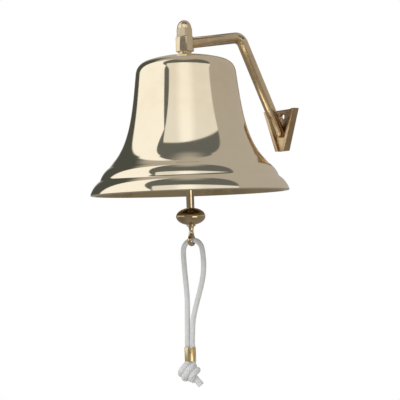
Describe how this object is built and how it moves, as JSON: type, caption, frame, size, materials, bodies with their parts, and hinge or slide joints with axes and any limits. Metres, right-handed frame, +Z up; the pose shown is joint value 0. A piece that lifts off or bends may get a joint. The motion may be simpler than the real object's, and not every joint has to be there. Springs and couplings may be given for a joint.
{
  "type": "ship bell",
  "caption": "Brass ship's bell with a swinging clapper and rope lanyard, hung from an octagonal arm whose wedge foot lifts out of a tapered wall socket.",
  "frame": {"origin": "midway between the two wall-screw holes, on the back face of the wall plate", "axes": "+Y into the wall (the back face's outward normal), -Y out to the bell, +Z up, +X to the right seen from the front; the bell's axis is vertical at y = -0.124"},
  "size_m": [0.2, 0.224, 0.37],
  "materials": {
    "bell_brass": "cast and turned, mirror polished",
    "bracket_brass": "polished, slightly aged",
    "nut_brass": "polished",
    "clapper_brass": "turned and polished",
    "plain_brass": "machined, unpolished",
    "ferrule_brass": "polished yellow brass tube",
    "steel": "machined stainless steel",
    "rope": "white braided cord"
  },
  "bodies": {
    "socket": {"wall_plate": "bracket_brass"},
    "bell_and_arm": {"wedge_foot": "bracket_brass", "arm_bar": "bracket_brass", "arm_head": "bracket_brass", "seat_washer": "plain_brass", "domed_nut": "nut_brass", "bell": "bell_brass", "inner_washer": "plain_brass", "lock_nut": "plain_brass", "hanger_bolt": "steel", "thrust_washer": "plain_brass"},
    "yoke": {"swivel_yoke": "plain_brass", "pivot_pin": "plain_brass", "split_pin": "steel"},
    "clapper": {"clapper_rod": "clapper_brass", "clapper_bob": "clapper_brass", "tail_ring": "clapper_brass"},
    "lanyard": {"lanyard_rope": "rope", "ferrule": "ferrule_brass", "rope_knot": "rope"}
  },
  "joints": [
    {"name": "arm_lift", "type": "slide", "parent": "socket", "child": "bell_and_arm", "axis": [0, 0, 1], "range_m": [0, 0.05]},
    {"name": "clapper_swivel", "type": "hinge", "parent": "bell_and_arm", "child": "yoke", "pos_m": [0, -0.124, 0.046], "axis": [0, 0, 1], "continuous": true},
    {"name": "clapper_swing", "type": "hinge", "parent": "yoke", "child": "clapper", "pos_m": [0, -0.124, 0.033], "axis": [0.8387, 0.5446, 0], "range_deg": [-36.5, 36.5]},
    {"name": "lanyard_swing", "type": "hinge", "parent": "clapper", "child": "lanyard", "pos_m": [0, -0.124, -0.114], "axis": [0.8387, 0.5446, 0], "range_deg": [-60, 60]}
  ]
}
